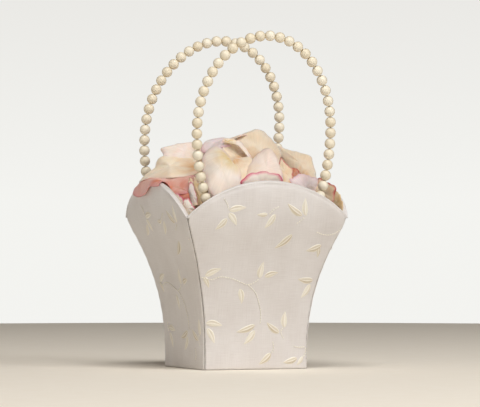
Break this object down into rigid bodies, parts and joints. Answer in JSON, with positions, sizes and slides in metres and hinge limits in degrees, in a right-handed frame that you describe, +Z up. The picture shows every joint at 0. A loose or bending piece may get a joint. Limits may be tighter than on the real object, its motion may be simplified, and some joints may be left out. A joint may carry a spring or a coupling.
{
  "type": "flower girl basket",
  "caption": "Square satin basket with flared, embroidered sides, domed rims and pearl bead handles that tilt, heaped with loose rose petals.",
  "frame": {"origin": "the middle of the underside, on the surface the basket stands on", "axes": "+Z up through the basket; the front panel, with the front handle behind it, faces -Y; +X to the right seen from the front"},
  "size_m": [0.1376, 0.1376, 0.2507],
  "materials": {
    "outer_satin": "ivory bridal satin with a soft sheen, embroidered with cream sprigs",
    "inner_satin": "plain ivory satin lining",
    "card": "plain grey-cream card",
    "seam_thread": "dull dark thread in the corner seams",
    "ribbon": "ivory satin ribbon",
    "pearl": "champagne pearl coat with a soft lustre",
    "wire": "soft pale wire",
    "petal_cream": "soft matt petal, cream",
    "petal_blush": "soft matt petal, pale blush",
    "petal_rose": "soft matt petal, rose pink",
    "petal_salmon": "soft matt petal, salmon",
    "petal_peach": "soft matt petal, peach",
    "petal_lilac": "soft matt petal, pale lilac pink"
  },
  "bodies": {
    "basket": {"front_cover": "outer_satin", "front_board": "card", "front_lining": "inner_satin", "right_cover": "outer_satin", "right_board": "card", "right_lining": "inner_satin", "back_cover": "outer_satin", "back_board": "card", "back_lining": "inner_satin", "left_cover": "outer_satin", "left_board": "card", "left_lining": "inner_satin", "front_left_seam": "seam_thread", "front_right_seam": "seam_thread", "back_right_seam": "seam_thread", "back_left_seam": "seam_thread", "base_cover": "inner_satin", "base_board": "card", "floor_pad": "inner_satin", "front_handle_left_tab": "ribbon", "front_handle_right_tab": "ribbon", "back_handle_left_tab": "ribbon", "back_handle_right_tab": "ribbon"},
    "front_handle": {"front_handle_wire": "wire", "front_handle_pearls": "pearl"},
    "back_handle": {"back_handle_wire": "wire", "back_handle_pearls": "pearl"},
    "petals": {"petal_lower_1_1": "petal_blush", "petal_lower_1_2": "petal_blush", "petal_lower_1_3": "petal_blush", "petal_lower_1_4": "petal_blush", "petal_lower_2_1": "petal_cream", "petal_lower_2_2": "petal_cream", "petal_lower_2_3": "petal_cream", "petal_lower_2_4": "petal_cream", "petal_lower_3_1": "petal_peach", "petal_lower_3_2": "petal_peach", "petal_lower_3_3": "petal_peach", "petal_lower_3_4": "petal_peach", "petal_front_rim": "petal_cream", "petal_back_rim": "petal_blush", "petal_left_drape": "petal_rose", "petal_front_left_curl": "petal_blush", "petal_front_left_edge": "petal_lilac", "petal_right_leg": "petal_salmon", "petal_right_rim": "petal_lilac", "petal_right_front": "petal_lilac", "petal_back_right": "petal_cream", "petal_left": "petal_peach", "petal_back_left": "petal_blush", "petal_right_back": "petal_peach", "petal_centre": "petal_cream", "petal_right_centre": "petal_peach", "petal_centre_roll": "petal_lilac", "petal_top": "petal_peach"}
  },
  "joints": [
    {"name": "front_handle_tilt", "type": "hinge", "parent": "basket", "child": "front_handle", "pos_m": [0, -0.055, 0.112], "axis": [-1, 0, 0], "range_deg": [-8, 22]},
    {"name": "back_handle_tilt", "type": "hinge", "parent": "basket", "child": "back_handle", "pos_m": [0, 0.055, 0.112], "axis": [1, 0, 0], "range_deg": [-10, 20]},
    {"name": "petals_lift_out", "type": "slide", "parent": "basket", "child": "petals", "axis": [0, 0, 1], "range_m": [0, 0.185]}
  ]
}
